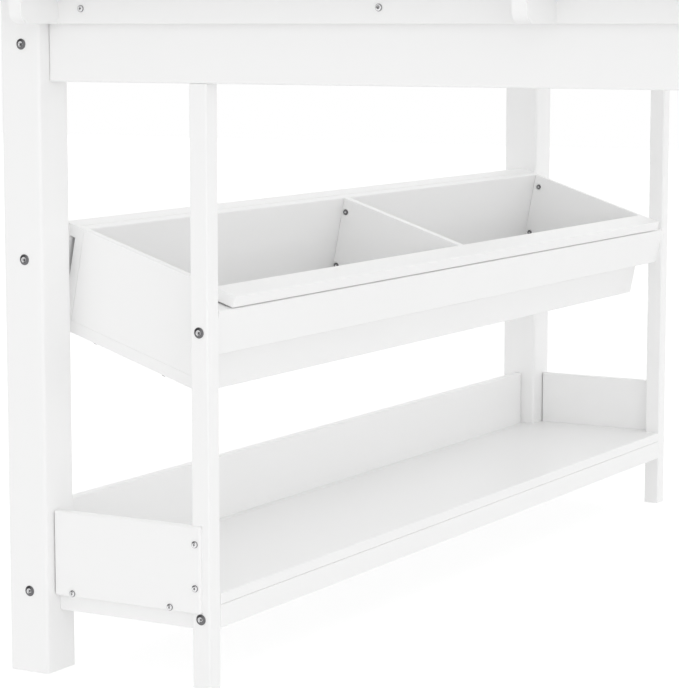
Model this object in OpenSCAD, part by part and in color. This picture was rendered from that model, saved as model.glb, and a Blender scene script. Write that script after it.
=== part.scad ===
// Potting bench: four corner posts and a plank worktop, with a sloping two-bin tray
// and a low shelf carried between the rear posts and a pair of thinner legs.
// X is the length, Y the depth (rear is +Y), Z is up. The floor is at z = 0.

/* [Frame] */
// Length of the frame across the outer faces of the posts
frame_w = 1500; // [1200:10:1800]
// Depth of the frame across the outer faces of the posts
frame_d = 1080; // [960:10:1400]
// Side of the square corner posts
post_side = 60; // [50:1:70]
// Radius of the corner posts' long edges
post_round = 4.5; // [1:0.5:8]
// Height of the posts, up to the underside of the worktop
post_h = 889; // [860:1:960]
// Side of the two thin legs
leg_side = 25.5; // [22:0.5:32]
// Radius of the legs' long edges
leg_round = 2.5; // [1:0.5:5]
// Clear gap between a thin leg and the rear post behind it
leg_gap = 207; // [180:1:240]

/* [Aprons] */
// Thickness of the four aprons
apron_t = 25.5; // [22:0.5:32]
// Height of the aprons' lower edge above the floor
apron_z = 753.5; // [720:0.5:770]
// Thickness of the end fascias screwed over the end aprons
fascia_t = 20; // [15:1:24]
// Height of the fascias' and brackets' lower edge above the floor
fascia_z = 825; // [800:1:840]

/* [Worktop] */
// Number of planks
plank_n = 8; // [6:1:8]
// Thickness of the planks
plank_t = 25; // [20:1:32]
// Gap between neighbouring planks
plank_gap = 4; // [2:0.5:8]
// Overhang of the planks past the posts at each end
end_overhang = 90; // [80:1:110]
// Overhang of the planks past the posts at the front and at the rear
side_overhang = 20; // [10:1:40]
// Distance of each bearer from the middle of the bench
bearer_x = 236; // [200:1:300]
// Depth of the bearers below the planks
bearer_h = 60; // [40:1:80]

/* [Brackets] */
// Projection of the brackets from the fascia
bracket_reach = 75; // [60:1:80]
// Thickness of the brackets
bracket_t = 18.5; // [15:0.5:24]
// Radius of the brackets' lower outer corner
bracket_round = 17; // [5:1:25]
// Distance of the rear bracket's centre from the rear post
bracket_rear = 20.5; // [15:0.5:60]
// Distance of the middle bracket's centre from the rear post
bracket_mid = 693.5; // [400:0.5:720]
// Thickness of the end battens lying on the brackets
batten_t = 20; // [15:1:25]

/* [Tray] */
// Slope of the tray, rising towards the rear
tray_tilt = 18; // [10:1:25]
// Height of the tray's datum line at the front faces of the thin legs
tray_z = 478; // [440:1:520]
// Length of the tray over its end panels
tray_w = 1352; // [1000:1:1370]
// Distance along the slope from the datum line to the rear board's inner face
tray_run = 235; // [200:1:236]
// Depth of the tray below its lip and rim boards, square to the slope
tray_deep = 119; // [80:1:140]
// Backward lean of the walls, away from square to the slope
tray_lean = 7.2; // [0:0.1:12]
// Thickness of the tray's walls and end panels
wall_t = 12; // [9:0.5:18]
// Thickness of the tray's bottom, divider, lip and rim boards
board_t = 15; // [12:1:20]
// Width of the front lip board
lip_w = 35; // [30:1:40]
// Width of the rim board behind the rear board
rim_w = 20.5; // [15:0.5:30]
// Thickness of the rails that carry the tray
rail_t = 25; // [20:1:32]
// Depth of the rails that carry the tray
rail_h = 56.5; // [40:0.5:80]
// Gap between the rear board and the rear rail
rail_gap = 6; // [4:0.5:12]

/* [Shelf] */
// Height of the shelf rails' lower edge above the floor
shelf_z = 79.5; // [60:0.5:120]
// Depth of the shelf's front and side rails
shelf_rail_h = 29; // [24:1:40]
// Height of the side panels' lower edge above the floor
panel_z = 101; // [90:1:110]
// Depth of the side panels
panel_h = 110; // [80:1:160]
// Thickness of the side panels
panel_t = 12; // [9:0.5:15]
// Distance the side panels stand proud of the legs
panel_proud = 5; // [3:0.5:8]
// Width of the leg's rebate that takes the side panel
panel_lap = 15; // [10:1:18]
// Depth of the back panel above the shelf
back_h = 89.5; // [60:0.5:140]

/* [Fasteners] */
// Diameter of the bolt heads
bolt_head = 13.6; // [10:0.1:16]
// Diameter of the bolts
bolt_d = 6; // [5:1:8]
// Height of the bolt heads
bolt_head_h = 2.4; // [2:0.1:4]
// Diameter of the screw heads
screw_head = 8.7; // [6:0.1:10]
// Diameter of the screws
screw_d = 4; // [3:0.5:5]
// Diameter of the barrel nuts and dowels
nut_d = 10; // [8:1:12]
// Clearance on diameter of every bore
bore_fit = 0.3; // [0.1:0.1:0.6]

/* [Hidden] */
$fn = 40;

paint = [0.95, 0.95, 0.94];
zinc = [0.35, 0.35, 0.36];
steel = [0.72, 0.72, 0.73];
beech = [0.80, 0.68, 0.50];

ease = 1;            // radius of the boards' machined edges
seam = 0.6;          // step round the faces of the tray's cross panels
shadow = 2;          // gap between the tray's front rail and its lip
cut = 1;             // how far a cutting shape runs past the face it cuts

// Faces of the frame
outer_x = frame_w / 2;
outer_y = frame_d / 2;
inner_x = outer_x - post_side;
inner_y = outer_y - post_side;
apron_face = outer_x - fascia_t;
apron_x = apron_face - apron_t / 2;
apron_y = outer_y - fascia_t - apron_t / 2;
apron_h = post_h - apron_z;
leg_x = apron_face - leg_side / 2;
leg_rear = inner_y - leg_gap;
leg_y = leg_rear - leg_side / 2;
leg_front = leg_rear - leg_side;
leg_inner = apron_face - leg_side;

// Worktop
top_w = frame_w + 2 * end_overhang;
top_d = frame_d + 2 * side_overhang;
plank_w = (top_d - (plank_n - 1) * plank_gap) / plank_n;
bracket_h = post_h - batten_t - fascia_z;
bracket_ys = [inner_y - bracket_rear, inner_y - bracket_mid, bracket_rear - inner_y];

// Tray, in its own sloping frame: Y runs up the slope and Z stands square to it
lean = tan(tray_lean);
front_out = -1 + rail_t;
front_in = front_out + wall_t;
floor_n = board_t - tray_deep;
lip_front = -2;
lip_rear = lip_front + lip_w;
rear_out = tray_run + wall_t;
rim_front = rear_out + lean * board_t;
rim_rear = rim_front + rim_w;
rear_rail = rear_out + rail_gap;
tray_inner = tray_w / 2 - wall_t;

// Shelf
board_z = shelf_z + shelf_rail_h;
shelf_top = board_z + board_t;
panel_out = apron_face + panel_proud;
panel_in = panel_out - panel_t;
panel_front = leg_rear - panel_lap;
shelf_rear = inner_y + 14.5;
shelf_rear_h = 35;
side_rail_t = 20;
panel_gap = 1.1;     // gap left between the shelf's panels and the rear posts

// Fixings. Each entry is [seat of the head, rotation that turns +Z out of the face, length]
bolt_in = 45;        // length of a bolt past the joint that it closes
nut_len = 18;
post_bolt_y = inner_y + 27.5;
leg_bolt_y = leg_y;
post_bolts_at = [
    for (side = [-1, 1]) for (p = [
        [post_bolt_y, 106], [post_bolt_y, 531], [post_bolt_y, 800], [-post_bolt_y, 800]
    ])
        [[side * outer_x, p[0], p[1]], [0, side * 90, 0], post_side + bolt_in]
];
leg_bolts_at = [
    for (side = [-1, 1], z = [93.7, 451.3])
        [[side * apron_face, leg_bolt_y, z], [0, side * 90, 0], leg_side + bolt_in]
];
apron_bolts_at = [
    for (side = [-1, 1], end = [-1, 1], z = [775, 825])
        [[side * apron_x, end * outer_y, z], [-end * 90, 0, 0], post_side + bolt_in]
];
// Barrel nuts: each starts flush with the hidden face of its rail or apron
nut_back = bolt_in - 9;
nuts_at = concat(
    [for (side = [-1, 1]) for (p = [
        [shelf_rear + rail_t, 106, -90], [post_bolt_y + 9.5, 531, -90],
        [apron_y - apron_t / 2, 800, 90], [apron_t / 2 - apron_y, 800, -90]
    ])
        [[side * (inner_x - nut_back), p[0], p[1]], [p[2], 0, 0], nut_len]],
    [for (side = [-1, 1]) for (p = [[leg_front + rail_t, 93.7], [leg_bolt_y + 15, 451.3]])
        [[side * (leg_inner - nut_back), p[0], p[1]], [-90, 0, 0], nut_len + 3]],
    [for (side = [-1, 1], end = [-1, 1], z = [775, 825])
        [[side * leg_inner, end * (inner_y - nut_back), z], [0, -side * 90, 0], nut_len]]
);
// Dowels that locate the butt joints
dowel_len = 40;
dowels_at = concat(
    [for (side = [-1, 1], end = [-1, 1])
        [[side * (inner_x + dowel_len / 2), end * apron_y, 855], [0, side * 90, 0], dowel_len]],
    [for (side = [-1, 1])
        [[side * leg_x, leg_y, apron_z + dowel_len / 2], [0, 0, 0], dowel_len]],
    [for (side = [-1, 1], end = [-1, 1], z = [845, 873])
        [[side * bearer_x, end * apron_y, z], [-end * 90, 0, 0], dowel_len]],
    [for (side = [-1, 1]) for (p = [[inner_y + dowel_len / 2, -90], [leg_rear - 8, 90]])
        [[side * (panel_in - side_rail_t / 2), p[0], 94], [p[1], 0, 0], dowel_len]],
    [for (x = [-450, 0, 450])
        [[x, shelf_rear + 18, board_z + board_t / 2], [-90, 0, 0], dowel_len]],
    [for (x = [-500, 0, 500])
        [[x, inner_y + 31.5, shelf_top + 20], [0, 0, 0], 30]]
);
// Screws: those of the worktop are sunk below its face
sink = 2.5;
panel_screws_at = [
    for (side = [-1, 1]) for (p = [
        [panel_front + 7.5, 188.8], [panel_front + 7.5, 133.5], [inner_y - 28.5, 105.8], [inner_y - 177, 105.8]
    ])
        [[side * panel_out, p[0], p[1]], [0, side * 90, 0], 28]
];
shelf_screws_at = concat(
    [for (x = [-520, -175, 175, 520])
        [[x, leg_front + rail_t / 2, shelf_z], [180, 0, 0], 40]],
    [for (side = [-1, 1], y = [inner_y - 60, inner_y - 150])
        [[side * (panel_in - side_rail_t / 2), y, shelf_z], [180, 0, 0], 40]]
);
fascia_screws_at = [
    for (side = [-1, 1], y = [inner_y - 64, 0, 64 - inner_y])
        [[side * outer_x, y, 843.5], [0, side * 90, 0], 40]
];
bracket_screws_at = concat(
    [for (side = [-1, 1], y = bracket_ys)
        [[side * leg_inner, y, 855], [0, -side * 90, 0], 80]],
    [for (side = [-1, 1], i = [0 : plank_n - 1])
        [[side * (outer_x + bracket_reach / 2), plank_y(i) + 0.1 * plank_w, post_h - batten_t],
         [180, 0, 0], 38]]
);
plank_screws_at = [
    for (side = [-1, 1], x = [bearer_x, apron_x], i = [0 : plank_n - 1], dy = [-0.3, 0.3])
        [[side * x, plank_y(i) + dy * plank_w, post_h + plank_t - sink], [0, 0, 0], 48]
];

// Fixings of the tray, in its sloping frame: positions along the slope and square to it
divider_pegs = [[tray_run - 7.1, -4.7], [tray_run - 16.6, -87]];
end_pegs = [[tray_run - 10.3, -3.5], [tray_run - 19.3, -84.6]];
peg_d = screw_head;
peg_len = 10;
pegs_at = concat(
    [for (p = divider_pegs) [[-board_t / 2, p[0], p[1]], [0, -90, 0], peg_len]],
    [for (side = [-1, 1], p = end_pegs) [[side * tray_inner, p[0], p[1]], [0, -side * 90, 0], peg_len]]
);
tray_screws_at = concat(
    [for (g = pegs_at)
        let (reach = (rear_out + lean * g[0].z - g[0].y) * cos(tray_lean),
             x = abs(g[0].x) < tray_inner ? 0 : g[0].x + sign(g[0].x) * wall_t / 2)
            [[x, g[0].y + reach * cos(tray_lean), g[0].z - reach * sin(tray_lean)],
             [-90 - tray_lean, 0, 0], reach + 3.5]],
    [for (x = [-560, -330, -100, 100, 330, 560])
        [[x, front_in - lean * 30, -30], [-90 - tray_lean, 0, 0], 30]],
    [for (x = [-1, 0, 1], u = [70, 180])
        [[x * (tray_w - wall_t) / 2, u, -tray_deep], [180, 0, 0], 36]]
);

function plank_y(i) = (i + 0.5) * plank_w + i * plank_gap - top_d / 2;

// Every bore in the frame, as [seat, rotation, length, diameter]
bores = concat(
    [for (f = concat(post_bolts_at, leg_bolts_at, apron_bolts_at)) [f[0], f[1], f[2], bolt_d]],
    [for (f = concat(nuts_at, dowels_at)) [f[0], f[1], f[2], nut_d]],
    [for (f = concat(panel_screws_at, shelf_screws_at, fascia_screws_at, bracket_screws_at, plank_screws_at))
        [f[0], f[1], f[2], screw_d]],
    [for (f = plank_screws_at) [f[0] + [0, 0, sink], f[1], sink - 0.5, screw_head]]
);
tray_bores = concat(
    [for (f = pegs_at) [f[0], f[1], f[2], peg_d]],
    [for (f = tray_screws_at) [f[0], f[1], f[2], screw_d]]
);

// ---------------------------------------------------------------- shapes

// Rounded rectangle centred on the origin
module rounded(w, h, r) {
    square([w - 2 * r, h], center = true);
    square([w, h - 2 * r], center = true);
    for (sx = [-1, 1], sy = [-1, 1])
        translate([sx * (w / 2 - r), sy * (h / 2 - r)])
            circle(r = r);
}

// Block with every edge eased, from corner a to corner b
module block(a, b, r = ease) {
    size = b - a;
    translate((a + b) / 2)
        intersection() {
            linear_extrude(size.z, center = true)
                rounded(size.x, size.y, r);
            rotate([90, 0, 90])
                linear_extrude(size.x, center = true)
                    rounded(size.y, size.z, r);
            rotate([90, 0, 0])
                linear_extrude(size.y, center = true)
                    rounded(size.x, size.z, r);
        }
}

// Eased block, bored for every fixing whose head is within reach of it
module board(a, b, r = ease) {
    color(paint)
        difference() {
            block(a, b, r);
            bore_near(bores, a, b);
        }
}

// Square upright with eased ends, standing on z = 0 and bored for its fixings
module upright(x, y, side, h, r) {
    a = [x - side / 2, y - side / 2, 0];
    b = [x + side / 2, y + side / 2, h];
    difference() {
        intersection() {
            translate([x, y, 0])
                linear_extrude(h)
                    rounded(side, side, r);
            block(a, b, 1.5);
        }
        bore_near(bores, a, b);
    }
}

// Bores of a list whose seats lie within 62 of the box from a to b
module bore_near(list, a, b) {
    m = 62;
    for (f = list)
        if (f[0].x > a.x - m && f[0].x < b.x + m && f[0].y > a.y - m && f[0].y < b.y + m
            && f[0].z > a.z - m && f[0].z < b.z + m)
            translate(f[0])
                rotate(f[1])
                    translate([0, 0, -f[2] - 0.5])
                        cylinder(h = f[2] + 0.5 + cut, d = f[3] + bore_fit);
}

// Draws its children in the tray's sloping frame
module on_slope() {
    translate([0, leg_front, tray_z])
        rotate([tray_tilt, 0, 0])
            children();
}

// Prism along X between x0 and x1 from an outline of [y, z] points
module prism_x(x0, x1, outline) {
    translate([x0, 0, 0])
        rotate([90, 0, 90])
            linear_extrude(x1 - x0)
                polygon(outline);
}

// Waste left by rounding off, along X, the corner whose faces meet at y = 0 and z = 0
module corner_waste(length, r) {
    translate([-length / 2, 0, 0])
        rotate([90, 0, 90])
            linear_extrude(length)
                difference() {
                    translate([-r, -cut])
                        square([r + cut, r + cut]);
                    translate([-r, r])
                        circle(r = r);
                }
}

// Outline of a leaning wall with eased edges: y0 and y1 are its faces where z = 0, and r
// is taken off the upper edge of the face at y0
function wall(y0, y1, top, bottom, r = ease) = [
    [y0 + lean * bottom + ease, bottom], [y1 + lean * bottom - ease, bottom],
    [y1 + lean * (bottom + ease), bottom + ease], [y1 + lean * (top - ease), top - ease],
    [y1 + lean * top - ease, top], [y0 + lean * top + r, top],
    [y0 + lean * (top - r), top - r], [y0 + lean * (bottom + ease), bottom + ease]
];

// Board of the tray along X with a leaning outline, bored for its fixings
module tray_board(half_length, outline) {
    color(paint)
        on_slope()
            difference() {
                prism_x(-half_length, half_length, outline);
                bore_near(tray_bores, [-half_length, outline[0][0], -tray_deep], [half_length, outline[1][0], 0]);
            }
}

// Outline of the tray's cross panels, drawn in by e all round
function panel_outline(e) = [
    [front_in + lean * floor_n + e, floor_n + e], [tray_run + lean * floor_n - e, floor_n + e],
    [rim_front - wall_t - e, board_t - e], [lip_rear + e, board_t - e], [lip_rear + e, e], [front_in + e, e]
];

// Cross panel of the tray from x0 to x1, between its front and rear boards
module cross_panel(x0, x1) {
    color(paint)
        on_slope()
            difference() {
                union() {
                    prism_x(x0 + seam, x1 - seam, panel_outline(0));
                    prism_x(x0, x1, panel_outline(seam));
                }
                bore_near(tray_bores, [x0, 0, -tray_deep], [x1, tray_run, 0]);
            }
}

// Bolt with its low domed head standing on z = 0 and its shank pointing down
module bolt(length) {
    rim = 0.6;
    rise = bolt_head_h - rim;
    dome = (pow(bolt_head / 2, 2) + rise * rise) / (2 * rise);
    difference() {
        rotate_extrude()
            polygon(concat(
                [[0, -length], [bolt_d / 2 - 0.5, -length], [bolt_d / 2, 0.5 - length], [bolt_d / 2, 0],
                [bolt_head / 2, 0]],
                [for (i = [6 : -1 : 0])
                    let (r = i * bolt_head / 12)
                        [r, bolt_head_h - dome + sqrt(dome * dome - r * r)]]
            ));
        translate([0, 0, rim])
            cylinder(h = bolt_head_h, d = 6.2, $fn = 6);
    }
}

// Screw with a low domed head standing on z = 0 and its shank pointing down
module screw(length) {
    difference() {
        rotate_extrude()
            polygon([
                [0, -length], [screw_d / 2, 3 - length], [screw_d / 2, 0], [screw_head / 2, 0],
                [screw_head / 2, 0.8], [screw_head / 2 - 0.9, 1.7], [screw_head / 4, 2.2], [0, 2.3]
            ]);
        for (a = [0, 90])
            rotate(a)
                translate([-2.2, -0.5, 1])
                    cube([4.4, 1, 2]);
    }
}

module bolts(list) {
    for (f = list)
        translate(f[0])
            rotate(f[1])
                bolt(f[2]);
}

module screws(list) {
    for (f = list)
        translate(f[0])
            rotate(f[1])
                screw(f[2]);
}

module rods(list, d) {
    for (f = list)
        translate(f[0])
            rotate(f[1])
                translate([0, 0, -f[2]])
                    cylinder(h = f[2], d = d);
}

// ---------------------------------------------------------------- frame

module post(side, end) {
    color(paint)
        upright(side * (outer_x - post_side / 2), end * (outer_y - post_side / 2), post_side, post_h, post_round);
}

// Thin leg under the end apron, rebated on its outer face for the shelf's side panel
module leg(side) {
    rebate = apron_face - panel_in;
    color(paint)
        difference() {
            upright(side * leg_x, leg_y, leg_side, apron_z, leg_round);
            translate([side * (apron_face - rebate / 2 + cut / 2), leg_rear - panel_lap / 2 + cut / 2, panel_z])
                translate([-(rebate + cut) / 2, -(panel_lap + cut) / 2, 0])
                    cube([rebate + cut, panel_lap + cut, panel_h]);
        }
}

// Apron along Y between the end posts
module end_apron(side) {
    x = side * apron_x;
    board([x - apron_t / 2, -inner_y, apron_z], [x + apron_t / 2, inner_y, post_h], 3);
}

// Apron along X between the two front posts or the two rear posts
module long_apron(end) {
    y = end * apron_y;
    board([-inner_x, y - apron_t / 2, apron_z], [inner_x, y + apron_t / 2, post_h], 3);
}

module fascia(side) {
    x = side * (outer_x - fascia_t / 2);
    board([x - fascia_t / 2, -inner_y, fascia_z], [x + fascia_t / 2, inner_y, post_h]);
}

// Bracket with its lower outer corner rounded off
module bracket(side, i) {
    y = bracket_ys[i];
    color(paint)
        difference() {
            translate([side * outer_x, y + side * bracket_t / 2, fascia_z])
                rotate([90, 0, side < 0 ? 180 : 0])
                    linear_extrude(bracket_t)
                        bracket_outline();
            bore_near(bores, [side * outer_x, y, fascia_z], [side * outer_x, y, post_h]);
        }
}

module bracket_outline() {
    translate([0, bracket_round])
        square([bracket_reach, bracket_h - bracket_round]);
    square([bracket_reach - bracket_round, bracket_h]);
    translate([bracket_reach - bracket_round, bracket_round])
        circle(r = bracket_round);
}

// Batten on the brackets, under the ends of the planks
module batten(side) {
    x = side * (outer_x + bracket_reach / 2);
    board([x - bracket_reach / 2, -outer_y, post_h - batten_t], [x + bracket_reach / 2, outer_y, post_h]);
}

module bearer(side) {
    x = side * bearer_x;
    reach = apron_y - apron_t / 2;
    board([x - apron_t / 2, -reach, post_h - bearer_h], [x + apron_t / 2, reach, post_h]);
}

module plank(i) {
    y = plank_y(i);
    board([-top_w / 2, y - plank_w / 2, post_h], [top_w / 2, y + plank_w / 2, post_h + plank_t], 1.5);
}

// ---------------------------------------------------------------- tray

module tray_bottom() {
    tray_board(tray_w / 2, [
        [front_in - lean * tray_deep, -tray_deep], [tray_run - lean * tray_deep, -tray_deep],
        [tray_run + lean * floor_n, floor_n], [front_in + lean * floor_n, floor_n]
    ]);
}

module tray_front_board() {
    color(paint)
        difference() {
            tray_board(tray_w / 2, wall(front_out, front_in, 0, -tray_deep));
            on_slope()
                translate([0, front_out - lean * tray_deep, -tray_deep])
                    mirror([0, 1, 0])
                        corner_waste(tray_w + 2 * cut, 3);
        }
}

module tray_rear_board() {
    tray_board(tray_w / 2, wall(tray_run, rear_out, board_t, -tray_deep));
}

module tray_lip() {
    color(paint)
        on_slope()
            block([-tray_w / 2, lip_front, 0], [tray_w / 2, lip_rear, board_t]);
}

// Rim along the outside of the rear board, lying on the rear rail
module tray_rim() {
    tray_board(tray_w / 2, [
        [rear_out, 0], [rim_rear, 0], [rim_rear, board_t - ease], [rim_rear - ease, board_t], [rim_front, board_t]
    ]);
}

// Rail along the outside of the front board, with a shadow gap between it and the lip
module tray_front_rail() {
    low = -shadow - rail_h;
    color(paint)
        difference() {
            on_slope()
                difference() {
                    prism_x(-leg_inner, leg_inner, wall(front_out - rail_t, front_out, -shadow, low));
                    bore_near(tray_bores, [-leg_inner, 0, low], [leg_inner, front_out, 0]);
                }
            bore_near(bores, [-leg_inner, leg_front, tray_z - rail_h], [leg_inner, leg_rear, tray_z]);
        }
}

module tray_rear_rail() {
    color(paint)
        difference() {
            on_slope()
                prism_x(-inner_x, inner_x, wall(rear_rail, rear_rail + rail_t, 0, -rail_h, 3));
            bore_near(bores, [-inner_x, inner_y, 500], [inner_x, outer_y, 560]);
        }
}

// ---------------------------------------------------------------- shelf

module shelf_board() {
    half = panel_in;
    color(paint)
        difference() {
            block([-half, leg_front, board_z], [half, shelf_rear, shelf_top], 2);
            for (side = [-1, 1])
                translate([side * (leg_inner + 20), leg_front, board_z + board_t / 2])
                    cube([40, 2 * leg_side, board_t + 2], center = true);
            for (side = [-1, 1])
                translate([side * (inner_x + 20), shelf_rear, board_z + board_t / 2])
                    cube([40, 2 * (shelf_rear - inner_y), board_t + 2], center = true);
            bore_near(bores, [-half, leg_front, board_z], [half, shelf_rear, shelf_top]);
        }
}

module shelf_front_rail() {
    board([-leg_inner, leg_front, shelf_z], [leg_inner, leg_front + rail_t, board_z]);
}

module shelf_rear_rail() {
    board([-inner_x, shelf_rear, shelf_top - shelf_rear_h], [inner_x, shelf_rear + rail_t, shelf_top]);
}

module shelf_side_rail(side) {
    x = side * (panel_in - side_rail_t / 2);
    color(paint)
        difference() {
            board([x - side_rail_t / 2, leg_rear, shelf_z], [x + side_rail_t / 2, inner_y, board_z]);
            translate([x, inner_y, shelf_z])
                corner_waste(side_rail_t + 2 * cut, 5);
        }
}

module shelf_back_panel() {
    half = inner_x - panel_gap / 2;
    y = inner_y + 24;
    color(paint)
        difference() {
            board([-half, y, shelf_top - 4], [half, y + board_t, shelf_top + back_h], 2.5);
            translate([0, y, shelf_top - 10])
                cube([2 * inner_x, 4 * board_t, 20], center = true);
        }
}

module shelf_side_panel(side) {
    x = side * (panel_out - panel_t / 2);
    board([x - panel_t / 2, panel_front, panel_z], [x + panel_t / 2, inner_y - panel_gap, panel_z + panel_h], 2.5);
}

// ---------------------------------------------------------------- fixings

module barrel_nuts() {
    color(steel)
        difference() {
            rods(nuts_at, nut_d);
            rods(concat(post_bolts_at, leg_bolts_at, apron_bolts_at), bolt_d + bore_fit);
        }
}

module tray_pegs() {
    color(zinc)
        on_slope()
            difference() {
                rods(pegs_at, peg_d);
                rods(tray_screws_at, screw_d + bore_fit);
            }
}

post(-1, 1);  // post_rear_left
post(1, 1);  // post_rear_right
post(-1, -1);  // post_front_left
post(1, -1);  // post_front_right
leg(-1);  // leg_left
leg(1);  // leg_right
end_apron(-1);  // apron_left
end_apron(1);  // apron_right
long_apron(1);  // apron_rear
long_apron(-1);  // apron_front
fascia(-1);  // fascia_left
fascia(1);  // fascia_right
bracket(-1, 0);  // bracket_left_1
bracket(-1, 1);  // bracket_left_2
bracket(-1, 2);  // bracket_left_3
bracket(1, 0);  // bracket_right_1
bracket(1, 1);  // bracket_right_2
bracket(1, 2);  // bracket_right_3
batten(-1);  // batten_left
batten(1);  // batten_right
bearer(-1);  // bearer_left
bearer(1);  // bearer_right
plank(0);  // plank_1
plank(1);  // plank_2
plank(2);  // plank_3
plank(3);  // plank_4
plank(4);  // plank_5
plank(5);  // plank_6
plank(6);  // plank_7
plank(7);  // plank_8
tray_bottom();
cross_panel(-tray_w / 2, -tray_inner);  // tray_end_left
cross_panel(tray_inner, tray_w / 2);  // tray_end_right
cross_panel(-board_t / 2, board_t / 2);  // tray_divider
tray_front_board();
tray_rear_board();
tray_lip();
tray_rim();
tray_front_rail();
tray_rear_rail();
shelf_board();
shelf_front_rail();
shelf_rear_rail();
shelf_side_rail(-1);  // shelf_side_rail_left
shelf_side_rail(1);  // shelf_side_rail_right
shelf_back_panel();
shelf_side_panel(-1);  // shelf_side_panel_left
shelf_side_panel(1);  // shelf_side_panel_right
color(zinc) bolts(post_bolts_at);  // post_bolts
color(zinc) bolts(leg_bolts_at);  // leg_bolts
color(zinc) bolts(apron_bolts_at);  // apron_bolts
barrel_nuts();
color(beech) rods(dowels_at, nut_d);  // dowels
color(steel) screws(panel_screws_at);  // panel_screws
color(steel) screws(shelf_screws_at);  // shelf_screws
tray_pegs();
color(steel) on_slope() screws(tray_screws_at);  // tray_screws
color(steel) screws(fascia_screws_at);  // fascia_screws
color(steel) screws(bracket_screws_at);  // bracket_screws
color(steel) screws(plank_screws_at);  // plank_screws
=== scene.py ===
"""Painted potting bench: finishes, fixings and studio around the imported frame, laid out as an add-on."""
import math

import bpy
import numpy as np
from mathutils import Euler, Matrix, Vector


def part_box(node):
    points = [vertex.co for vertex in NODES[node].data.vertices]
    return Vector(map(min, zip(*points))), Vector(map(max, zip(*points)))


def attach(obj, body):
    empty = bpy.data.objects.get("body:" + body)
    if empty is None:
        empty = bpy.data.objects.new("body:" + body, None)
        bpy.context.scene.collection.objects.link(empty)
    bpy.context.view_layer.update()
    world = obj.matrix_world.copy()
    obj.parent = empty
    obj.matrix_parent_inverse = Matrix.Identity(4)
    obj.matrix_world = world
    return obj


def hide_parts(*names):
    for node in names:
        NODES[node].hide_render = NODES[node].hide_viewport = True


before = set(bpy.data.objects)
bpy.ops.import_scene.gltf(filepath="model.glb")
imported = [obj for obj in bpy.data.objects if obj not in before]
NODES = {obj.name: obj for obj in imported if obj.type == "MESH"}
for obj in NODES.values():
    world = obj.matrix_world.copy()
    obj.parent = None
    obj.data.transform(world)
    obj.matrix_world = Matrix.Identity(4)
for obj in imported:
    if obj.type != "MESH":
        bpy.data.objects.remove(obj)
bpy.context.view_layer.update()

bl_info = {
    "name": "Potting Bench Finish",
    "version": (1, 1, 0),
    "blender": (4, 5, 0),
    "location": "3D View > Sidebar > Bench",
    "description": "Paint, fixings and studio for a plank-topped potting bench",
    "category": "Object",
}

# Boards by the way their grain runs
GRAIN_X = ("plank_", "apron_rear", "apron_front", "tray_", "shelf_board", "shelf_front_rail",
           "shelf_rear_rail", "shelf_back_panel", "bracket_left", "bracket_right")
GRAIN_Y = ("apron_left", "apron_right", "fascia_left", "fascia_right", "batten_", "bearer_",
           "tray_end_", "tray_divider", "shelf_side_")
GRAIN_Z = ("post_", "leg_")
FIXINGS = ("post_bolts", "leg_bolts", "apron_bolts", "barrel_nuts", "dowels", "panel_screws",
           "shelf_screws", "tray_pegs", "tray_screws", "fascia_screws", "bracket_screws", "plank_screws")

# Faces that the fixings stand on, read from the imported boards
FASCIA_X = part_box("fascia_right")[1][0]
APRON_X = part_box("apron_right")[1][0]
APRON_MID = (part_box("apron_right")[0][0] + APRON_X) / 2
LEG_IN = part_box("leg_right")[0][0]
LEG_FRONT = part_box("leg_right")[0][1]
LEG_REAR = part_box("leg_right")[1][1]
POST_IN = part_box("post_rear_right")[0][1]
POST_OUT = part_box("post_rear_right")[1][1]
PANEL_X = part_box("shelf_side_panel_right")[1][0]
SIDE_RAIL_X = (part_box("shelf_side_rail_right")[0][0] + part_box("shelf_side_rail_right")[1][0]) / 2
SHELF_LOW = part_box("shelf_front_rail")[0][2]
BATTEN_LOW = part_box("batten_right")[0][2]
BATTEN_X = (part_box("batten_right")[0][0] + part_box("batten_right")[1][0]) / 2
BEARER_X = (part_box("bearer_right")[0][0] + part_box("bearer_right")[1][0]) / 2
PLANK_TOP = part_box("plank_1")[1][2]
PLANKS = [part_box("plank_%d" % (i + 1)) for i in range(8)]
PLANK_MIDS = [(low[1] + high[1]) / 2 for low, high in PLANKS]
PLANK_WIDE = PLANKS[0][1][1] - PLANKS[0][0][1]

# The tray's own frame: u runs up the slope from the legs' front faces and n stands square to it
TRAY_TILT = math.radians(18.0)
TRAY_LEAN = math.radians(7.2)
TRAY_Z = 0.478
TRAY_FRONT_IN = 0.036    # u of the front board's inner face at n = 0
TRAY_RUN = 0.235         # u of the rear board's inner face at n = 0
TRAY_REAR_OUT = 0.247    # u of the rear board's outer face at n = 0
TRAY_DEEP = 0.119        # depth of the tray's underside below n = 0
TRAY_END_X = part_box("tray_end_right")[0][0]
END_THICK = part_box("tray_end_right")[1][0] - TRAY_END_X
DIVIDER_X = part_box("tray_divider")[1][0]

# Pegs, as the distance of each from the rear board along u, and its n
DIVIDER_PEGS = ((0.0071, -0.0047), (0.0166, -0.087))
END_PEGS = ((0.0103, -0.0035), (0.0193, -0.0846))

# Radii of the shanks, and the sizes of the screws' and pegs' heads
BOLT_SHANK = 0.003
SCREW_SHANK = 0.002
SCREW_RISE = 0.0023
SCREW_CROSS = 0.0018
PEG_RISE = 0.0012
PEG_CROSS = 0.0016
PEG_SHARE = 0.88         # diameter of a peg's head over a screw's

# Faces round each turned head
BOLT_SIDES = 48
SCREW_SIDES = 24

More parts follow.
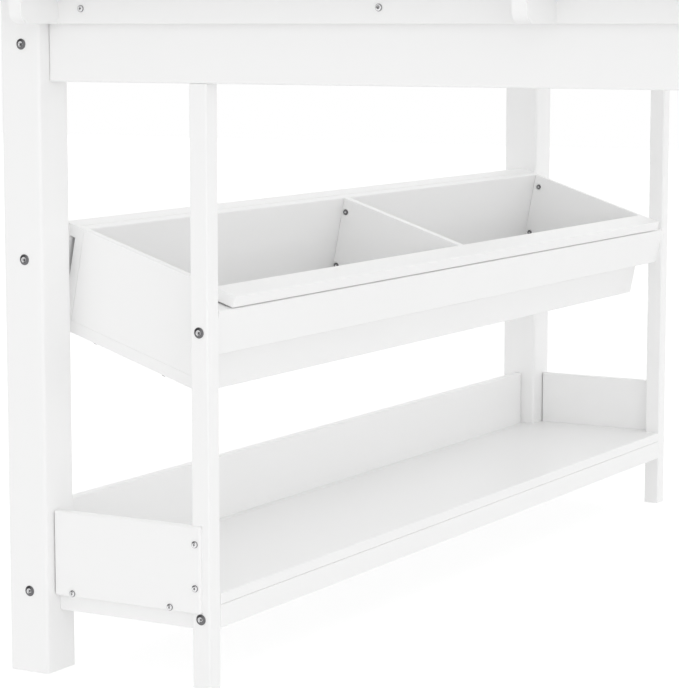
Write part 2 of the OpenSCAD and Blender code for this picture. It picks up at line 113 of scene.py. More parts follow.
# Lengths of the shanks below their heads' seats
LENGTHS = {
    "post_bolts": 0.105, "leg_bolts": 0.0705, "apron_bolts": 0.105, "pegs": 0.01,
    "panel_screws": 0.028, "shelf_screws": 0.04, "fascia_screws": 0.04, "bracket_screws": 0.08,
    "batten_screws": 0.038, "plank_screws": 0.048, "tray_front_screws": 0.03, "tray_bottom_screws": 0.036,
}

MISS = 0.003             # furthest that a turned piece may reach from its CAD node's box
GOLDEN_ANGLE = math.radians(137.508)

# Studio: level directions of the left front glow and of the dark flag, the fill lamp, floor and camera
GLOW_WAY = (-0.868, -0.496)
FLAG_WAY = (-0.47, 0.88)
LAMP_PLACE = (0.0, 0.1, 0.85)
LAMP_SIZE = (1.34, 0.7)
FLOOR_HALF = 12.0
FLOOR_SQUARES = 8
FLOOR_DROP = 0.0004      # keeps the floor just clear of the feet
LENS = 130.41
SENSOR = 36.0
CAMERA_PLACE = (-3.2617, -1.3849, 0.825)
CAMERA_TURN = (82.6794, 0.0, -60.2348)


# ------------------------------------------------------------------ settings

class BenchPaint(bpy.types.PropertyGroup):
    """Paint on the boards"""

    colour: bpy.props.FloatVectorProperty(
        name="Paint colour", description="Base colour of the satin paint", subtype="COLOR",
        size=3, min=0.0, max=1.0, default=(0.945, 0.945, 0.944))
    roughness: bpy.props.FloatProperty(
        name="Sheen roughness", description="Roughness of the dried paint film", min=0.1, max=1.0,
        default=0.42)
    grain: bpy.props.FloatProperty(
        name="Grain depth", description="Depth of the wood grain that telegraphs through the paint",
        subtype="DISTANCE", unit="LENGTH", min=0.0, max=0.001, default=0.00008)
    peel: bpy.props.FloatProperty(
        name="Peel depth", description="Depth of the fine texture left by the roller",
        subtype="DISTANCE", unit="LENGTH", min=0.0, max=0.0005, default=0.00003)


class BenchFixings(bpy.types.PropertyGroup):
    """Bolts, screws and pegs"""

    bolt_head: bpy.props.FloatProperty(
        name="Bolt head", description="Diameter of the bolt heads", subtype="DISTANCE", unit="LENGTH",
        min=0.008, max=0.02, default=0.0136)
    bolt_rise: bpy.props.FloatProperty(
        name="Bolt head height", description="Height of the domed bolt heads", subtype="DISTANCE",
        unit="LENGTH", min=0.001, max=0.006, default=0.0024)
    socket: bpy.props.FloatProperty(
        name="Bolt socket", description="Size of the hex socket across its corners", subtype="DISTANCE",
        unit="LENGTH", min=0.003, max=0.008, default=0.0062)
    screw_head: bpy.props.FloatProperty(
        name="Screw head", description="Diameter of the screw heads; the pegs' heads are a little smaller",
        subtype="DISTANCE", unit="LENGTH", min=0.005, max=0.012, default=0.0087)
    dark: bpy.props.FloatVectorProperty(
        name="Dark zinc", description="Colour of the plating on the bolts and pegs", subtype="COLOR",
        size=3, min=0.0, max=1.0, default=(0.17, 0.17, 0.175))
    bright: bpy.props.FloatVectorProperty(
        name="Bright zinc", description="Colour of the plating on the screws and nuts", subtype="COLOR",
        size=3, min=0.0, max=1.0, default=(0.80, 0.80, 0.81))
    beech: bpy.props.FloatVectorProperty(
        name="Beech", description="Colour of the bare dowels", subtype="COLOR",
        size=3, min=0.0, max=1.0, default=(0.60, 0.43, 0.25))


class BenchStage(bpy.types.PropertyGroup):
    """Studio around the bench"""

    ambient: bpy.props.FloatProperty(
        name="Ambient", description="Strength of the even light from all round", min=0.0, max=2.0,
        default=0.835)
    band: bpy.props.FloatProperty(
        name="Horizon band", description="Extra light from low down, all round", min=0.0, max=2.0,
        default=0.22)
    front: bpy.props.FloatProperty(
        name="Front glow", description="Extra light from low down in front of the bench", min=0.0, max=3.0,
        default=0.60)
    side: bpy.props.FloatProperty(
        name="Side glow", description="Extra light from the left front corner", min=0.0, max=3.0,
        default=0.63)
    fill: bpy.props.FloatProperty(
        name="Fill", description="Power of the soft fill lamp under the worktop", subtype="POWER",
        unit="POWER", min=0.0, max=10.0, default=1.0)
    floor: bpy.props.FloatVectorProperty(
        name="Floor colour", description="Colour of the pale studio floor", subtype="COLOR",
        size=3, min=0.0, max=1.0, default=(0.62, 0.62, 0.62))
    floor_glow: bpy.props.FloatProperty(
        name="Floor glow", description="How far the floor is lifted towards white for the camera",
        min=0.0, max=2.0, default=0.56)
    floor_light: bpy.props.FloatProperty(
        name="Floor light", description="Light that the glowing floor gives the bench", min=0.0, max=1.0,
        default=0.30)


# ------------------------------------------------------------------ node helpers

def new_material(name):
    """Empty node material with a Principled shader wired to its output."""
    mat = bpy.data.materials.new(name)
    mat.use_nodes = True
    tree = mat.node_tree
    tree.nodes.clear()
    out = tree.nodes.new("ShaderNodeOutputMaterial")
    shader = tree.nodes.new("ShaderNodeBsdfPrincipled")
    tree.links.new(shader.outputs["BSDF"], out.inputs["Surface"])
    return mat, tree, shader


def noise_on(tree, scale, detail, roughness, stretch=(1.0, 1.0, 1.0)):
    """Noise read from Object coordinates, stretched along the axes by a Mapping node."""
    where = tree.nodes.new("ShaderNodeTexCoord")
    place = tree.nodes.new("ShaderNodeMapping")
    place.inputs["Scale"].default_value = stretch
    noise = tree.nodes.new("ShaderNodeTexNoise")
    noise.inputs["Scale"].default_value = scale
    noise.inputs["Detail"].default_value = detail
    noise.inputs["Roughness"].default_value = roughness
    tree.links.new(where.outputs["Object"], place.inputs["Vector"])
    tree.links.new(place.outputs["Vector"], noise.inputs["Vector"])
    return noise.outputs["Fac"]


def spread(tree, source, low, high):
    """Maps a 0 to 1 value to the range from low to high."""
    node = tree.nodes.new("ShaderNodeMapRange")
    node.inputs["To Min"].default_value = low
    node.inputs["To Max"].default_value = high
    tree.links.new(source, node.inputs["Value"])
    return node.outputs["Result"]


def blend(tree, share, first, second):
    """Colour that goes from first to second as share goes from 0 to 1."""
    mix = tree.nodes.new("ShaderNodeMix")
    mix.data_type = "RGBA"
    tree.links.new(share, mix.inputs[0])
    for socket, colour in ((mix.inputs[6], first), (mix.inputs[7], second)):
        if isinstance(colour, bpy.types.NodeSocket):
            tree.links.new(colour, socket)
        else:
            socket.default_value = tuple(min(1.0, c) for c in colour) + (1.0,)
    return mix.outputs[2]


def scaled(colour, *by):
    """Colour multiplied by one factor, or by one for each channel."""
    factors = by * 3 if len(by) == 1 else by
    return tuple(c * f for c, f in zip(colour, factors))


def bump_of(tree, height, distance, strength, below=None):
    """Bump from a height, laid over an earlier bump if one is given."""
    node = tree.nodes.new("ShaderNodeBump")
    node.inputs["Distance"].default_value = distance
    node.inputs["Strength"].default_value = strength
    tree.links.new(height, node.inputs["Height"])
    if below is not None:
        tree.links.new(below, node.inputs["Normal"])
    return node.outputs["Normal"]


def maths(tree, operation, first, second=0.0):
    """Math node on two values, each a socket or a number."""
    node = tree.nodes.new("ShaderNodeMath")
    node.operation = operation
    for socket, value in zip(node.inputs, (first, second)):
        if isinstance(value, bpy.types.NodeSocket):
            tree.links.new(value, socket)
        else:
            socket.default_value = value
    return node.outputs[0]


# ------------------------------------------------------------------ finishes

def painted_wood(name, along, cfg):
    """Satin paint over softwood: a broad drift of tone, grain that telegraphs through along one axis,
    and a fine roller peel."""
    mat, tree, shader = new_material(name)
    across_grain, along_grain = 14.0, 0.7
    stretch = [along_grain if axis == along else across_grain for axis in range(3)]
    drift = noise_on(tree, scale=2.3, detail=2.0, roughness=0.5)
    grain = noise_on(tree, scale=9.0, detail=5.0, roughness=0.62, stretch=stretch)
    peel = noise_on(tree, scale=620.0, detail=2.0, roughness=0.5)
    colour = tuple(cfg.colour)
    tone = blend(tree, drift, scaled(colour, 0.985, 0.985, 0.983), scaled(colour, 1.008))
    sheen = spread(tree, grain, cfg.roughness - 0.05, cfg.roughness + 0.06)
    telegraph = bump_of(tree, grain, distance=cfg.grain, strength=0.6)
    texture = bump_of(tree, peel, distance=cfg.peel, strength=0.5, below=telegraph)
    tree.links.new(tone, shader.inputs["Base Color"])
    tree.links.new(sheen, shader.inputs["Roughness"])
    tree.links.new(texture, shader.inputs["Normal"])
    return mat


def plated(name, colour, roughness):
    """Plated steel: metallic, with cloudy plating that also varies its roughness, and a fine tooth."""
    mat, tree, shader = new_material(name)
    shader.inputs["Metallic"].default_value = 1.0
    cloud = noise_on(tree, scale=400.0, detail=3.0, roughness=0.6)
    tooth = noise_on(tree, scale=2600.0, detail=2.0, roughness=0.5)
    tone = blend(tree, cloud, scaled(colour, 0.82), scaled(colour, 1.15))
    sheen = spread(tree, cloud, roughness - 0.07, roughness + 0.09)
    texture = bump_of(tree, tooth, distance=0.00002, strength=0.4)
    tree.links.new(tone, shader.inputs["Base Color"])
    tree.links.new(sheen, shader.inputs["Roughness"])
    tree.links.new(texture, shader.inputs["Normal"])
    return mat


def bare_beech(name, colour):
    """Turned beech: short dark flecks along each dowel's fibres over a warm drift of tone."""
    mat, tree, shader = new_material(name)
    drift = noise_on(tree, scale=60.0, detail=3.0, roughness=0.55)
    fleck = noise_on(tree, scale=900.0, detail=2.0, roughness=0.5, stretch=(0.25, 1.0, 0.6))
    base = blend(tree, drift, scaled(colour, 0.9), scaled(colour, 1.1))
    mark = maths(tree, "GREATER_THAN", fleck, 0.66)
    tone = blend(tree, mark, base, scaled(colour, 0.6, 0.55, 0.5))
    sheen = spread(tree, fleck, 0.55, 0.75)
    texture = bump_of(tree, fleck, distance=0.0001, strength=0.4)
    tree.links.new(tone, shader.inputs["Base Color"])
    tree.links.new(sheen, shader.inputs["Roughness"])
    tree.links.new(texture, shader.inputs["Normal"])
    return mat


def dress(node, mat):
    """Gives a CAD node one material."""
    data = NODES[node].data
    data.materials.clear()
    data.materials.append(mat)


# ------------------------------------------------------------------ turned heads

def recess(kind, angle, half):
    """Radius of a driver's recess at each angle, half being its reach: a hexagon is the cosine of
    30 degrees over the cosine of the angle from the nearest flat's middle, and a cross is the larger
    of two slots, each the lesser of reach over cosine and half width over sine."""
    if kind == "hexagon":
        flat = math.pi / 6
        return half * math.cos(flat) / np.cos(angle % (2 * flat) - flat)
    along = np.maximum(np.abs(np.cos(angle)), 1e-6)
    across = np.maximum(np.abs(np.sin(angle)), 1e-6)
    wide = half * math.tan(math.pi / 12)
    return np.maximum(np.minimum(half / along, wide / across), np.minimum(half / across, wide / along))


def turn(rows, kind, half, count):
    """Surface of revolution whose recess isn't round. Each row is radius, height, share of the recess's
    outline and material. A point's radius is the row's radius times one plus the share times the
    recess's radius over its reach, less the share; its angle runs evenly round. The first and last
    rows are the poles. Gives points, faces (four indices, a pole's twice) and each face's material."""
    rows = np.array(rows)
    angle = np.arange(count) * (2 * math.pi / count)
    shape = recess(kind, angle, half) / half
    ring = rows[1:-1]
    radius = ring[:, :1] * (1.0 + ring[:, 2:3] * (shape[None, :] - 1.0))
    height = np.broadcast_to(ring[:, 1:2], radius.shape)
    rings = np.stack([radius * np.cos(angle), radius * np.sin(angle), height], axis=-1).reshape(-1, 3)
    poles = np.array([[0.0, 0.0, rows[0, 1]], [0.0, 0.0, rows[-1, 1]]])
    points = np.concatenate([poles, rings])
    j = np.arange(count)
    k = (j + 1) % count
    step = 2 + count * np.arange(len(ring) - 1)[:, None]
    walls = np.stack(np.broadcast_arrays(step + j, step + k, step + count + k, step + count + j), axis=-1)
    top = 2 + count * (len(ring) - 1)
    low_cap = np.stack([np.zeros_like(j), 2 + k, 2 + j], axis=-1)
    high_cap = np.stack([top + j, top + k, np.ones_like(j)], axis=-1)
    wall_mats = np.repeat(ring[:-1, 3], count)
    mats = np.concatenate([wall_mats, np.full(count, rows[0, 3]), np.full(count, ring[-1, 3])])
    return points, (walls.reshape(-1, 4), np.concatenate([low_cap, high_cap])), mats.astype(int)


def stand(points, seats):
    """Copies points to every seat. A seat is position, outward axis and shank length: heights below
    zero are multiplied by the length, then the copy is rolled by the golden angle times its number
    and turned so that its height runs along the axis."""
    seats = np.array(seats)
    place, axis, length = seats[:, 0:3], seats[:, 3:6], seats[:, 6]
    across = np.where(np.abs(axis[:, 2:3]) > 0.9, [[1.0, 0.0, 0.0]], [[0.0, 0.0, 1.0]])
    side = np.cross(across, axis)
    side /= np.linalg.norm(side, axis=1, keepdims=True)
    up = np.cross(axis, side)
    roll = (np.arange(len(seats)) * GOLDEN_ANGLE)[:, None]
    first = side * np.cos(roll) + up * np.sin(roll)
    second = up * np.cos(roll) - side * np.sin(roll)
    x, y, z = points[None, :, 0:1], points[None, :, 1:2], points[None, :, 2:3]
    z = np.where(z < 0.0, z * length[:, None, None], z)
    return place[:, None] + x * first[:, None] + y * second[:, None] + z * axis[:, None]


def build(name, node, turned, seats, finishes):
    """One mesh piece with a turned head and shank at every seat, in place of a CAD node. Raises an
    error if its box misses the node's."""
    points, (walls, caps), mats = turned
    placed = stand(points, seats)
    shift = (np.arange(len(seats)) * len(points))[:, None, None]
    fours = (walls[None] + shift).reshape(-1, 4)
    threes = (caps[None] + shift).reshape(-1, 3)
    mesh = bpy.data.meshes.new(name)
    mesh.from_pydata(placed.reshape(-1, 3).tolist(), [], fours.tolist() + threes.tolist())
    order = np.concatenate([np.tile(mats[:len(walls)], len(seats)), np.tile(mats[len(walls):], len(seats))])
    mesh.polygons.foreach_set("material_index", order.astype(np.int32))
    mesh.polygons.foreach_set("use_smooth", np.ones(len(mesh.polygons), dtype=bool))
    mesh.set_sharp_from_angle(angle=math.radians(38))
    for finish in finishes:
        mesh.materials.append(finish)
    mesh.update()
    piece = bpy.data.objects.new(name, mesh)
    bpy.context.scene.collection.objects.link(piece)
    flat = placed.reshape(-1, 3)
    low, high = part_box(node)
    gap = max(np.abs(flat.min(0) - np.array(low)).max(), np.abs(flat.max(0) - np.array(high)).max())
    if gap > MISS:
        raise RuntimeError("%s misses its CAD node by %.1f mm" % (name, gap * 1000))
    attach(piece, "root")
    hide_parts(node)


def bolt_rows(cfg):
    """Profile of a low domed bolt with a chamfered hex socket. The dome is part of a sphere: its height
    is the head's height less the sphere's radius plus the root of the radius squared less r squared.
    The socket's chamfer and walls are the second material, a brighter plating: partly wear from the key,
    partly a painted highlight standing in for the glints in the socket."""
    head, rise, socket = cfg.bolt_head / 2, cfg.bolt_rise, cfg.socket / 2
    edge, chamfer, floor, ease = 0.0006, 0.0004, 0.0005, 0.0001
    sphere = (head ** 2 + (rise - edge) ** 2) / (2 * (rise - edge))
    r = np.linspace(head - ease, socket + chamfer, 7)
    crown = rise - sphere + np.sqrt(sphere ** 2 - r ** 2)
    shank = [(0.0, -1.0, 0, 0), (BOLT_SHANK - 4 * ease, -1.0, 0, 0), (BOLT_SHANK, -0.99, 0, 0),
             (BOLT_SHANK, 0.0, 0, 0)]
    rim = [(head - 3 * ease, 0.0, 0, 0), (head, 2 * ease, 0, 0), (head, edge - ease, 0, 0)]
    dome = [(a, b, 0, 0) for a, b in zip(r[:-1], crown[:-1])]
    walls = [(r[-1], crown[-1], 0, 1), (socket, crown[-1] - chamfer, 1, 1), (socket * 0.97, floor, 1, 1)]
    return shank + rim + dome + walls + [(socket * 0.55, floor - ease, 0.4, 0), (0.0, 2 * ease, 0, 0)]


def screw_rows(radius, rise, cross):
    """Profile of a pan-head screw with a cross recess. The head's height is its edge's, three tenths of
    the rise, plus the rest of the rise times the root of one less the square of r over the radius.
    Its rim is the third material, a darker plating that paints shade round the head's edge, and the
    recess's walls are the second, painted shade in the screws and a painted highlight in the pegs."""
    edge, ease = rise * 0.3, 0.0001
    r = radius * np.sin(np.linspace(math.pi / 2, math.asin(cross * 1.08 / radius), 7))
    crown = edge + (rise - edge) * np.sqrt(np.maximum(0.0, 1 - (r / radius) ** 2))
    shank = [(0.0, -1.0, 0, 0), (SCREW_SHANK * 0.6, -0.96, 0, 0), (SCREW_SHANK, -0.9, 0, 0),
             (SCREW_SHANK, 0.0, 0, 0)]
    rim = [(radius * 0.95, 0.0, 0, 2), (radius, edge * 0.3, 0, 2)]
    rim += [(a, b, 0, 2) for a, b in zip(r[:3], crown[:3])]
    dome = [(a, b, 0, 0) for a, b in zip(r[3:], crown[3:])]
    walls = [(cross, crown[-1] - ease, 1, 1), (cross * 0.8, rise * 0.55, 1, 1),
             (cross * 0.3, rise * 0.42, 0.3, 1), (0.0, rise * 0.36, 0, 1)]
    return shank + rim + dome + walls


# ------------------------------------------------------------------ seats of the fixings

def both_sides(x, spots, outward, length):
    """Seats on a face at x and on its mirror image: spots are (y, z), and outward is 1 or -1 along X."""
    return [(s * x, y, z, s * outward, 0.0, 0.0, length) for s in (-1, 1) for y, z in spots]


def upright(spots, z, outward, length):
    """Seats on a level face at z: spots are (x, y), and outward is 1 or -1 along Z."""
    return [(x, y, z, 0.0, 0.0, outward, length) for x, y in spots]


def on_slope(x, u, n):
    """Point of the tray's frame in the bench's frame: u and n turned by the slope about the point where
    both are nothing, on the legs' front faces."""
    return (x, LEG_FRONT + u * math.cos(TRAY_TILT) - n * math.sin(TRAY_TILT),
            TRAY_Z + u * math.sin(TRAY_TILT) + n * math.cos(TRAY_TILT))


def slope_axis(angle):
    """Axis at an angle from the tray's slope, in the plane across the bench."""
    return (0.0, math.cos(TRAY_TILT + angle), math.sin(TRAY_TILT + angle))


def peg_spots():
    """Pegs as x, u, n, outward: two in the divider's left face and two in each end panel's inner face."""
    divider = [(-DIVIDER_X, TRAY_RUN - back, n, -1) for back, n in DIVIDER_PEGS]
    ends = [(s * TRAY_END_X, TRAY_RUN - back, n, -s) for s in (-1, 1) for back, n in END_PEGS]
    return divider + ends


def tray_screw_seats():
    """Screws through the rear board into the pegs, through the front board and up through the bottom."""
    lean = math.tan(TRAY_LEAN)
    past_peg, front_down = 0.0035, 0.03
    seats = []
    for x, u, n, _ in peg_spots():
        reach = (TRAY_REAR_OUT + lean * n - u) * math.cos(TRAY_LEAN)
        mid = 0.0 if abs(x) < TRAY_END_X / 2 else x + math.copysign(END_THICK / 2, x)
        spot = on_slope(mid, u + reach * math.cos(TRAY_LEAN), n - reach * math.sin(TRAY_LEAN))
        seats.append(spot + slope_axis(-TRAY_LEAN) + (reach + past_peg,))
    for x in (-0.56, -0.33, -0.1, 0.1, 0.33, 0.56):
        spot = on_slope(x, TRAY_FRONT_IN - lean * front_down, -front_down)
        seats.append(spot + slope_axis(-TRAY_LEAN) + (LENGTHS["tray_front_screws"],))
    for side in (-1, 0, 1):
        for u in (0.07, 0.18):
            spot = on_slope(side * (TRAY_END_X + END_THICK / 2), u, -TRAY_DEEP)
            seats.append(spot + slope_axis(-math.pi / 2) + (LENGTHS["tray_bottom_screws"],))
    return seats


def bolt_seats():
    """Seats of the bolts by the CAD node that they stand for."""
    post_y = POST_IN + 0.0275
    leg_y = (LEG_FRONT + LEG_REAR) / 2
    shelf_z, rail_z, apron_z = 0.106, 0.531, 0.8
    posts = [(post_y, shelf_z), (post_y, rail_z), (post_y, apron_z), (-post_y, apron_z)]
    legs = [(leg_y, 0.0937), (leg_y, 0.4513)]
    return {
        "post_bolts": both_sides(FASCIA_X, posts, 1, LENGTHS["post_bolts"]),
        "leg_bolts": both_sides(APRON_X, legs, 1, LENGTHS["leg_bolts"]),
        "apron_bolts": [(s * APRON_MID, e * POST_OUT, z, 0.0, e, 0.0, LENGTHS["apron_bolts"])
                        for s in (-1, 1) for e in (-1, 1) for z in (apron_z - 0.025, apron_z + 0.025)],
    }


def screw_seats():
    """Seats of the screws by the CAD node that they stand for."""
    lap_y = LEG_REAR - 0.0075
    rail_z, fascia_z, bracket_z, sunk = 0.1058, 0.8435, 0.855, 0.0025
    panel = [(lap_y, 0.1888), (lap_y, 0.1335), (POST_IN - 0.0285, rail_z), (POST_IN - 0.177, rail_z)]
    fascia = [(y, fascia_z) for y in (-0.416, 0.0, 0.416)]
    boxes = [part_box("bracket_right_%d" % number) for number in (1, 2, 3)]
    brackets = [((low[1] + high[1]) / 2, bracket_z) for low, high in boxes]
    under = [(x, LEG_FRONT + 0.0125) for x in (-0.52, -0.175, 0.175, 0.52)]
    under += [(s * SIDE_RAIL_X, POST_IN - d) for s in (-1, 1) for d in (0.06, 0.15)]
    top = [(s * x, y + d * PLANK_WIDE) for s in (-1, 1) for x in (BEARER_X, APRON_MID)
           for y in PLANK_MIDS for d in (-0.3, 0.3)]
    battens = [(s * BATTEN_X, y + 0.1 * PLANK_WIDE) for s in (-1, 1) for y in PLANK_MIDS]
    return {
        "panel_screws": both_sides(PANEL_X, panel, 1, LENGTHS["panel_screws"]),
        "shelf_screws": upright(under, SHELF_LOW, -1, LENGTHS["shelf_screws"]),
        "fascia_screws": both_sides(FASCIA_X, fascia, 1, LENGTHS["fascia_screws"]),
        "bracket_screws": both_sides(LEG_IN, brackets, -1, LENGTHS["bracket_screws"])
        + upright(battens, BATTEN_LOW, -1, LENGTHS["batten_screws"]),
        "plank_screws": upright(top, PLANK_TOP - sunk, 1, LENGTHS["plank_screws"]),
        "tray_screws": tray_screw_seats(),
    }


# ------------------------------------------------------------------ operators

class BENCH_OT_paint(bpy.types.Operator):
    """Paints every board, with the grain running along its length"""

    bl_idname = "bench.paint"
    bl_label = "Paint the boards"

    def execute(self, context):
        cfg = context.scene.bench_paint
        finishes = [painted_wood("painted_wood_" + "xyz"[i], i, cfg) for i in range(3)]
        for node in NODES:
            if node in FIXINGS:
                continue
            if node.startswith(GRAIN_Z):
                dress(node, finishes[2])
            elif node.startswith(GRAIN_Y):
                dress(node, finishes[1])
            elif node.startswith(GRAIN_X):
                dress(node, finishes[0])
            else:
                raise RuntimeError("no grain direction for " + node)
        return {"FINISHED"}


class BENCH_OT_bolts(bpy.types.Operator):
    """Sets a low domed bolt with a hex socket at every joint of the posts, legs and aprons"""

    bl_idname = "bench.bolts"
    bl_label = "Fit the bolts"

    def execute(self, context):
        cfg = context.scene.bench_fixings
        # The socket plating is brighter than the head: partly wear from the key, partly a painted highlight
        # standing in for glints in the socket.
        finishes = (plated("dark_zinc", tuple(cfg.dark), 0.36),
                    plated("socket_wear_and_glint", scaled(cfg.bright, 0.85), 0.25))
        turned = turn(bolt_rows(cfg), "hexagon", cfg.socket / 2, BOLT_SIDES)
        for node, seats in bolt_seats().items():
            build("turned_" + node, node, turned, seats, finishes)
        return {"FINISHED"}


class BENCH_OT_screws(bpy.types.Operator):
    """Sets a pan-head screw with a cross recess at every screwed joint"""

    bl_idname = "bench.screws"
    bl_label = "Fit the screws"

    def execute(self, context):
        cfg = context.scene.bench_fixings
        # The recess plating is darker as painted shade in the cross recess, and the rim plating darker as
        # painted shade round the head's edge.
        finishes = (plated("bright_zinc", tuple(cfg.bright), 0.22),
                    plated("screw_recess_painted_shade", scaled(cfg.bright, 0.35), 0.35),
                    plated("painted_shade_rim", scaled(cfg.dark, 1.5), 0.35))
        rows = screw_rows(cfg.screw_head / 2, SCREW_RISE, SCREW_CROSS)
        turned = turn(rows, "cross", SCREW_CROSS, SCREW_SIDES)
        for node, seats in screw_seats().items():
            build("turned_" + node, node, turned, seats, finishes)
        return {"FINISHED"}


class BENCH_OT_pegs(bpy.types.Operator):
    """Sets the dark pegs into the tray's divider and end panels"""

    bl_idname = "bench.pegs"
    bl_label = "Fit the tray pegs"

    def execute(self, context):
        cfg = context.scene.bench_fixings
        # The recess plating is bright as a painted highlight at the peg's centre, and the rim plating
        # darker as painted shade round its edge.
        finishes = (plated("peg_zinc", scaled(cfg.dark, 1.3), 0.3),
                    plated("peg_recess_painted_glint", tuple(cfg.bright), 0.3),
                    plated("peg_rim_painted_shade", scaled(cfg.dark, 0.6), 0.35))
        rows = screw_rows(cfg.screw_head * PEG_SHARE / 2, PEG_RISE, PEG_CROSS)
        turned = turn(rows, "cross", PEG_CROSS, SCREW_SIDES)
        seats = [on_slope(x, u, n) + (out, 0.0, 0.0, LENGTHS["pegs"]) for x, u, n, out in peg_spots()]
        build("turned_pegs", "tray_pegs", turned, seats, finishes)
        return {"FINISHED"}


class BENCH_OT_inner_fixings(bpy.types.Operator):
    """Plates the barrel nuts and gives the dowels their bare wood"""

    bl_idname = "bench.inner_fixings"
    bl_label = "Finish the nuts and dowels"

    def execute(self, context):
        cfg = context.scene.bench_fixings
        dress("barrel_nuts", plated("nut_zinc", scaled(cfg.bright, 0.9), 0.28))
        dress("dowels", bare_beech("bare_beech", tuple(cfg.beech)))
        return {"FINISHED"}


class BENCH_OT_stage(bpy.types.Operator):
    """Sets the pale floor, the soft studio light and the camera"""

    bl_idname = "bench.stage"
    bl_label = "Set the studio"

    def execute(self, context):
        cfg = context.scene.bench_stage
        lay_floor(cfg)
        light_studio(context, cfg)
        place_camera(context)
        return {"FINISHED"}


def lay_floor(cfg):
    """A flat square of floor, at one height just under the feet for every x and y. It glows a little,
    like a light table, and is white to the camera where nothing shades it."""
    count = FLOOR_SQUARES + 1
    line = np.linspace(-FLOOR_HALF, FLOOR_HALF, count)
    u, v = np.meshgrid(line, line, indexing="ij")
    points = np.stack([u, v, np.full_like(u, -FLOOR_DROP)], axis=-1).reshape(-1, 3)
    i, j = np.meshgrid(np.arange(FLOOR_SQUARES), np.arange(FLOOR_SQUARES), indexing="ij")
    first = (i * count + j).reshape(-1)
    faces = np.stack([first, first + count, first + count + 1, first + 1], axis=1)
    mesh = bpy.data.meshes.new("floor")
    mesh.from_pydata(points.tolist(), [], faces.tolist())
    floor = bpy.data.objects.new("floor", mesh)
    bpy.context.scene.collection.objects.link(floor)
    mat, tree, shader = new_material("pale_floor")
    shader.inputs["Specular IOR Level"].default_value = 0.1
    mottle = noise_on(tree, scale=1.7, detail=3.0, roughness=0.5)
    tone = blend(tree, mottle, scaled(cfg.floor, 0.995), scaled(cfg.floor, 1.005))
    tree.links.new(tone, shader.inputs["Base Color"])
    tree.links.new(spread(tree, mottle, 0.85, 0.95), shader.inputs["Roughness"])
    path = tree.nodes.new("ShaderNodeLightPath")
    seen = maths(tree, "MAXIMUM", path.outputs["Is Camera Ray"], path.outputs["Is Glossy Ray"])
    seen = maths(tree, "MAXIMUM", seen, path.outputs["Is Transmission Ray"])
    glow = tree.nodes.new("ShaderNodeEmission")
    extra = maths(tree, "MULTIPLY", seen, cfg.floor_glow - cfg.floor_light)
    tree.links.new(maths(tree, "ADD", extra, cfg.floor_light), glow.inputs["Strength"])
    both = tree.nodes.new("ShaderNodeAddShader")
    out = [n for n in tree.nodes if n.type == "OUTPUT_MATERIAL"][0]
    tree.links.new(shader.outputs["BSDF"], both.inputs[0])
    tree.links.new(glow.outputs["Emission"], both.inputs[1])
    tree.links.new(both.outputs["Shader"], out.inputs["Surface"])
    mesh.materials.append(mat)


def level_share(tree, x, y, way):
    """Share of a direction that lies along a level way: x and y times its own, added."""
    return maths(tree, "ADD", maths(tree, "MULTIPLY", x, way[0]), maths(tree, "MULTIPLY", y, way[1]))


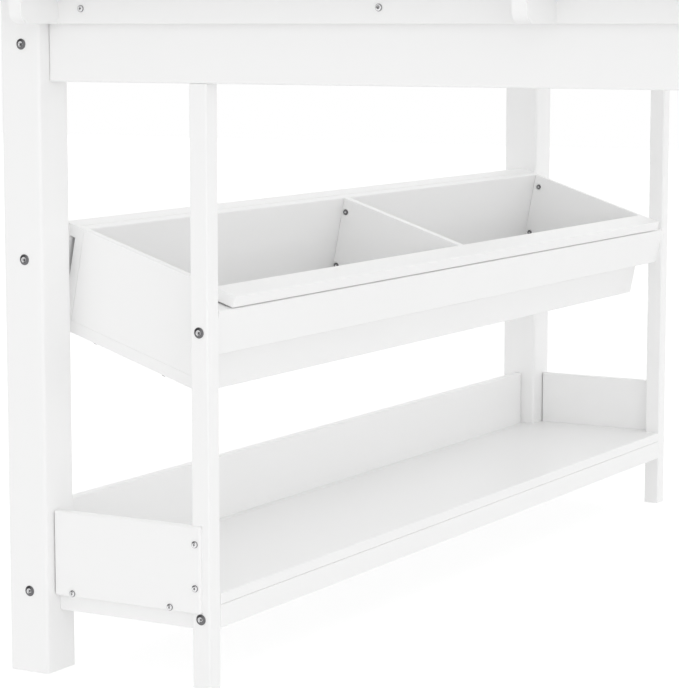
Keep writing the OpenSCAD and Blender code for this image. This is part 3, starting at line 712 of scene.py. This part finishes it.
def light_studio(context, cfg):
    """Even world with a band of light low down, a glow in front and one at the left front corner, and a
    fill lamp under the worktop. The band is one less the height's size, to the fourth power, the front
    glow is the band times how far the direction points ahead, and the corner's glow is the sixth power
    of its share along the corner. The camera sees the world white, and shiny surfaces see it white but
    for a dark flag behind the bench's left end."""
    world = bpy.data.worlds.new("studio")
    context.scene.world = world
    world.use_nodes = True
    tree = world.node_tree
    tree.nodes.clear()
    out = tree.nodes.new("ShaderNodeOutputWorld")
    back = tree.nodes.new("ShaderNodeBackground")
    back.inputs["Color"].default_value = (1.0, 1.0, 1.0, 1.0)
    tree.links.new(back.outputs["Background"], out.inputs["Surface"])
    where = tree.nodes.new("ShaderNodeTexCoord")
    split = tree.nodes.new("ShaderNodeSeparateXYZ")
    tree.links.new(where.outputs["Generated"], split.inputs[0])
    x, y, z = split.outputs
    low = maths(tree, "POWER", maths(tree, "SUBTRACT", 1.0, maths(tree, "ABSOLUTE", z)), 4.0)
    ahead = maths(tree, "MAXIMUM", maths(tree, "MULTIPLY", y, -1.0), 0.0)
    corner = maths(tree, "MAXIMUM", level_share(tree, x, y, GLOW_WAY), 0.0)
    corner = maths(tree, "POWER", corner, 6.0)
    front = maths(tree, "ADD", maths(tree, "MULTIPLY", ahead, cfg.front), cfg.band)
    band = maths(tree, "MULTIPLY", low, front)
    side = maths(tree, "MULTIPLY", corner, cfg.side)
    light = maths(tree, "ADD", maths(tree, "ADD", band, side), cfg.ambient)
    flag = tree.nodes.new("ShaderNodeMapRange")
    flag.interpolation_type = "SMOOTHSTEP"
    for name, value in (("From Min", 0.3), ("From Max", 0.85), ("To Min", 1.3), ("To Max", 0.15)):
        flag.inputs[name].default_value = value
    tree.links.new(level_share(tree, x, y, FLAG_WAY), flag.inputs["Value"])
    path = tree.nodes.new("ShaderNodeLightPath")
    level = tree.nodes.new("ShaderNodeMix")
    tree.links.new(path.outputs["Is Glossy Ray"], level.inputs[0])
    tree.links.new(light, level.inputs[2])
    tree.links.new(flag.outputs["Result"], level.inputs[3])
    shown = tree.nodes.new("ShaderNodeMix")
    seen = maths(tree, "MAXIMUM", path.outputs["Is Camera Ray"], path.outputs["Is Transmission Ray"])
    tree.links.new(seen, shown.inputs[0])
    tree.links.new(level.outputs[0], shown.inputs[2])
    shown.inputs[3].default_value = 1.0
    tree.links.new(shown.outputs[0], back.inputs["Strength"])
    lamp = bpy.data.lights.new("fill", "AREA")
    lamp.shape = "RECTANGLE"
    lamp.size, lamp.size_y = LAMP_SIZE
    lamp.energy = cfg.fill
    fill = bpy.data.objects.new("fill", lamp)
    fill.location = LAMP_PLACE
    fill.visible_camera = False
    context.scene.collection.objects.link(fill)


def place_camera(context):
    """Camera just below worktop height, off the left front corner, aimed at the tray and the shelf."""
    cam = bpy.data.cameras.new("camera")
    cam.lens = LENS
    cam.sensor_width = SENSOR
    eye = bpy.data.objects.new("camera", cam)
    eye.location = CAMERA_PLACE
    eye.rotation_euler = Euler([math.radians(angle) for angle in CAMERA_TURN])
    context.scene.collection.objects.link(eye)
    context.scene.camera = eye


class BENCH_PT_panel(bpy.types.Panel):
    """Bench tools"""

    bl_idname = "BENCH_PT_panel"
    bl_label = "Potting bench"
    bl_space_type = "VIEW_3D"
    bl_region_type = "UI"
    bl_category = "Bench"

    def draw(self, context):
        for step in STEPS:
            self.layout.operator(step.bl_idname)


SETTINGS = {"bench_paint": BenchPaint, "bench_fixings": BenchFixings, "bench_stage": BenchStage}
STEPS = (BENCH_OT_paint, BENCH_OT_bolts, BENCH_OT_screws, BENCH_OT_pegs, BENCH_OT_inner_fixings,
         BENCH_OT_stage)
CLASSES = tuple(SETTINGS.values()) + STEPS + (BENCH_PT_panel,)


def register():
    for cls in CLASSES:
        bpy.utils.register_class(cls)
    for name, group in SETTINGS.items():
        setattr(bpy.types.Scene, name, bpy.props.PointerProperty(type=group))


def unregister():
    for name in SETTINGS:
        delattr(bpy.types.Scene, name)
    for cls in reversed(CLASSES):
        bpy.utils.unregister_class(cls)


def main():
    """Registers the add-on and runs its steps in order."""
    register()
    bpy.context.scene.view_settings.view_transform = "Standard"
    bpy.ops.bench.paint()
    bpy.ops.bench.bolts()
    bpy.ops.bench.screws()
    bpy.ops.bench.pegs()
    bpy.ops.bench.inner_fixings()
    bpy.ops.bench.stage()


if __name__ == "__main__":
    main()
